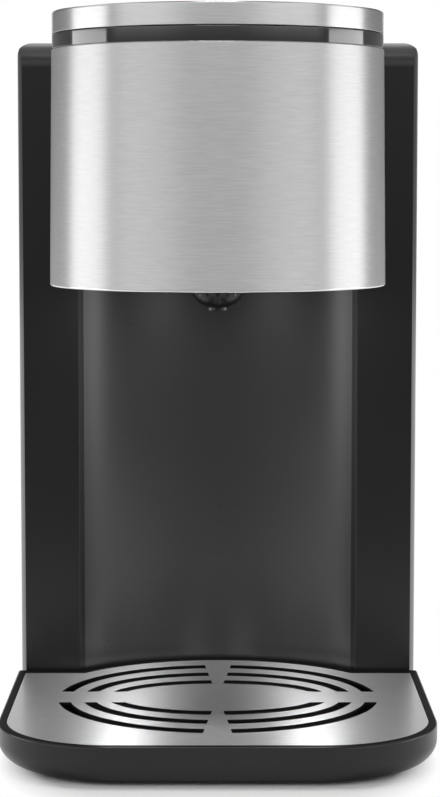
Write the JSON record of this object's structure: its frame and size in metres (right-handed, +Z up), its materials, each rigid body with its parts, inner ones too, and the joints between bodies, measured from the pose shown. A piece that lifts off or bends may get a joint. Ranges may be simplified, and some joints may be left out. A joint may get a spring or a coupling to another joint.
{
  "type": "hot water dispenser",
  "caption": "Counter-top hot water dispenser: slim drip tray with slotted steel grid, black tower with a concave niche, round brushed-steel head with dial ring, tank at the back.",
  "frame": {"origin": "middle of the footprint, on the table under the feet", "axes": "+Z up, -Y towards the user, +X to the user's right"},
  "size_m": [0.18, 0.3, 0.3054],
  "materials": {
    "satin_black": "satin",
    "gloss_black": "polished",
    "brushed_steel": "brushed",
    "steel_cap": "brushed",
    "inner_plastic": "moulded",
    "white_plastic": "moulded",
    "rubber": "matt",
    "silicone": "translucent",
    "clear_tank": "clear smoke",
    "display_lens": "polished",
    "float_red": "moulded",
    "board_green": "solder mask",
    "screw_steel": "zinc plated"
  },
  "bodies": {
    "housing": {"base_plate": "satin_black", "rubber_feet": "rubber", "tower_housing": "satin_black", "column_panel": "satin_black", "rear_cover": "satin_black", "cover_screws": "screw_steel", "base_screws": "screw_steel", "tank_dock": "satin_black", "dock_coupling": "inner_plastic", "dock_seal": "rubber", "cord_gland": "rubber", "float_sensor": "inner_plastic", "head_frame": "inner_plastic", "head_shell": "brushed_steel", "head_underside": "satin_black", "head_screws": "screw_steel", "outlet_nozzle": "gloss_black", "nozzle_seal": "rubber", "outlet_chamber": "white_plastic", "light_band": "gloss_black", "encoder": "inner_plastic", "control_deck": "inner_plastic", "control_board": "board_green", "tact_switches": "inner_plastic", "display_module": "inner_plastic", "control_panel": "gloss_black", "display_window": "display_lens", "heater_tube": "brushed_steel", "heater_caps": "inner_plastic", "heater_brackets": "inner_plastic", "thermal_cutout": "screw_steel", "temperature_sensor": "screw_steel", "pump_motor": "screw_steel", "pump_housing": "inner_plastic", "pump_bracket": "inner_plastic", "power_board": "board_green", "inlet_hose": "silicone", "pump_hose": "silicone", "outlet_hose": "silicone"},
    "tray": {"drip_tray": "satin_black"},
    "grid": {"drip_grid": "brushed_steel"},
    "tank": {"water_tank": "clear_tank", "lid_hinge_pin": "screw_steel", "valve_cage": "white_plastic", "valve_spring": "screw_steel", "float_post": "white_plastic"},
    "lid": {"tank_lid": "satin_black"},
    "valve": {"valve_plunger": "white_plastic"},
    "float": {"level_float": "float_red"},
    "dial": {"dial_ring": "brushed_steel", "dial_gear": "white_plastic"},
    "pinion": {"encoder_pinion": "white_plastic"},
    "start": {"start_button": "steel_cap"},
    "power": {"power_button": "satin_black"},
    "temperature": {"temperature_button": "satin_black"},
    "volume": {"volume_button": "satin_black"},
    "lock": {"lock_button": "satin_black"},
    "rotor": {"pump_rotor": "white_plastic"}
  },
  "joints": [
    {"name": "tray_slide", "type": "slide", "parent": "housing", "child": "tray", "axis": [0, -1, 0], "range_m": [0, 0.16]},
    {"name": "grid_lift", "type": "slide", "parent": "tray", "child": "grid", "axis": [0, 0, 1], "range_m": [0, 0.06]},
    {"name": "tank_lift", "type": "slide", "parent": "housing", "child": "tank", "axis": [0, 0, 1], "range_m": [0, 0.12]},
    {"name": "lid_hinge", "type": "hinge", "parent": "tank", "child": "lid", "pos_m": [0, 0.146, 0.2846], "axis": [-1, 0, 0], "range_deg": [0, 105]},
    {"name": "valve_close", "type": "slide", "parent": "tank", "child": "valve", "axis": [0, 0, 1], "range_m": [-0.0027, 0], "deforming": ["valve_spring"]},
    {"name": "float_rise", "type": "slide", "parent": "tank", "child": "float", "axis": [0, 0, 1], "range_m": [0, 0.018]},
    {"name": "dial_turn", "type": "hinge", "parent": "housing", "child": "dial", "pos_m": [0, -0.06, 0.3], "axis": [0, 0, 1], "continuous": true},
    {"name": "pinion_turn", "type": "hinge", "parent": "housing", "child": "pinion", "pos_m": [-0.036, -0.06, 0.29], "axis": [0, 0, 1], "continuous": true},
    {"name": "rotor_turn", "type": "hinge", "parent": "housing", "child": "rotor", "pos_m": [0.055, 0.0485, 0.0666], "axis": [0, 0, 1], "continuous": true},
    {"name": "start_press", "type": "slide", "parent": "housing", "child": "start", "axis": [0, 0, -1], "range_m": [0, 0.001], "stiffness_N_per_m": 1000, "springref_m": -0.001},
    {"name": "power_press", "type": "slide", "parent": "housing", "child": "power", "axis": [0, 0, -1], "range_m": [0, 0.001], "stiffness_N_per_m": 1000, "springref_m": -0.001},
    {"name": "temperature_press", "type": "slide", "parent": "housing", "child": "temperature", "axis": [0, 0, -1], "range_m": [0, 0.001], "stiffness_N_per_m": 1000, "springref_m": -0.001},
    {"name": "volume_press", "type": "slide", "parent": "housing", "child": "volume", "axis": [0, 0, -1], "range_m": [0, 0.001], "stiffness_N_per_m": 1000, "springref_m": -0.001},
    {"name": "lock_press", "type": "slide", "parent": "housing", "child": "lock", "axis": [0, 0, -1], "range_m": [0, 0.001], "stiffness_N_per_m": 1000, "springref_m": -0.001}
  ],
  "couplings": [
    {"joint": "pinion_turn", "follows": "dial_turn", "ratio": 3},
    {"joint": "valve_close", "follows": "tank_lift", "ratio": -0.0225}
  ]
}
